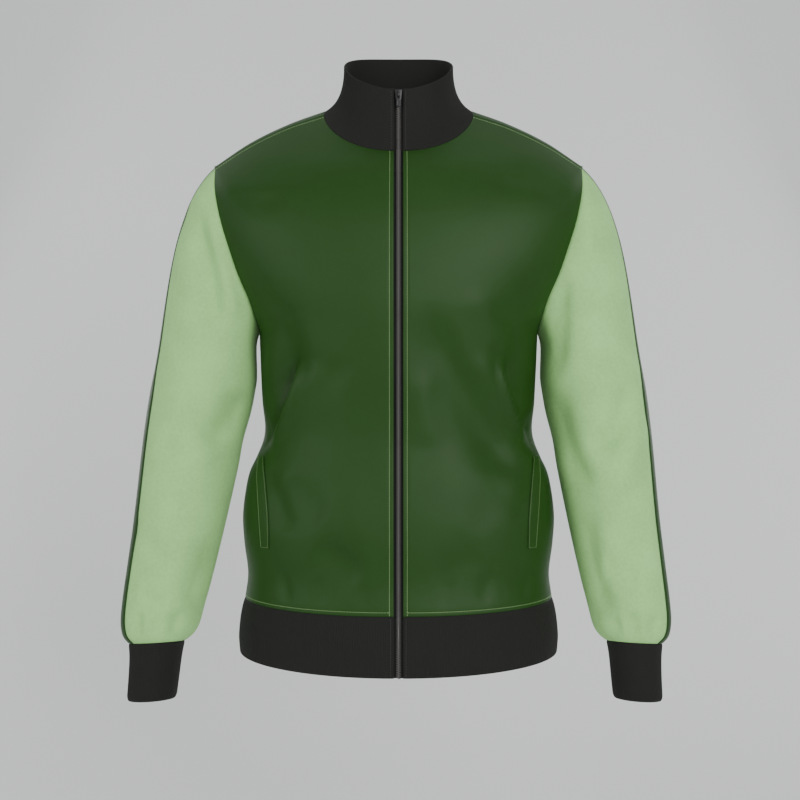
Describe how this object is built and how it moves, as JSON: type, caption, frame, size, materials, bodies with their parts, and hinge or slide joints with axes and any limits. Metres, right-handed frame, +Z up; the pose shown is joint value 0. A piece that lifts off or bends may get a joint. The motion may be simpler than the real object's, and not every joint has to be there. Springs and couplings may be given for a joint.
{
  "type": "track jacket",
  "caption": "Zipped track jacket, filled out as worn, with contrast set-in sleeves, rib stand collar, hem band and cuffs, pocket welts, and a zip slider whose pull tab swings.",
  "frame": {"origin": "midway between the shoulders, where the wearer carries the jacket", "axes": "+Z up the jacket's length, -Y out of the front, +X towards the wearer's left"},
  "size_m": [0.6556, 0.2518, 0.7896],
  "materials": {
    "front_cloth": "smooth double-knit jersey with a soft satin sheen",
    "sleeve_cloth": "matt double-knit jersey",
    "rib_knit": "fine upright rib knit, matt",
    "zip_tape": "dark woven tape",
    "zip_teeth": "dark grey moulded teeth",
    "zip_metal": "dark painted slider and pull"
  },
  "bodies": {
    "jacket": {"front_left": "front_cloth", "front_right": "front_cloth", "back": "front_cloth", "collar": "rib_knit", "hem_band": "rib_knit", "cuff_left": "rib_knit", "cuff_right": "rib_knit", "sleeve_front_left": "sleeve_cloth", "sleeve_stripe_left": "front_cloth", "sleeve_back_left": "sleeve_cloth", "sleeve_front_right": "sleeve_cloth", "sleeve_stripe_right": "front_cloth", "sleeve_back_right": "sleeve_cloth", "pocket_welt_left": "front_cloth", "pocket_welt_right": "front_cloth", "zip_tape_left": "zip_tape", "zip_tape_right": "zip_tape", "zip_chain": "zip_teeth", "zip_slider": "zip_metal"},
    "pull_tab": {"zip_pull": "zip_metal"}
  },
  "joints": [
    {"name": "pull_tab_swing", "type": "hinge", "parent": "jacket", "child": "pull_tab", "pos_m": [0, -0.06266, 0.02802], "axis": [-1, 0, 0], "range_deg": [0, 160]}
  ]
}
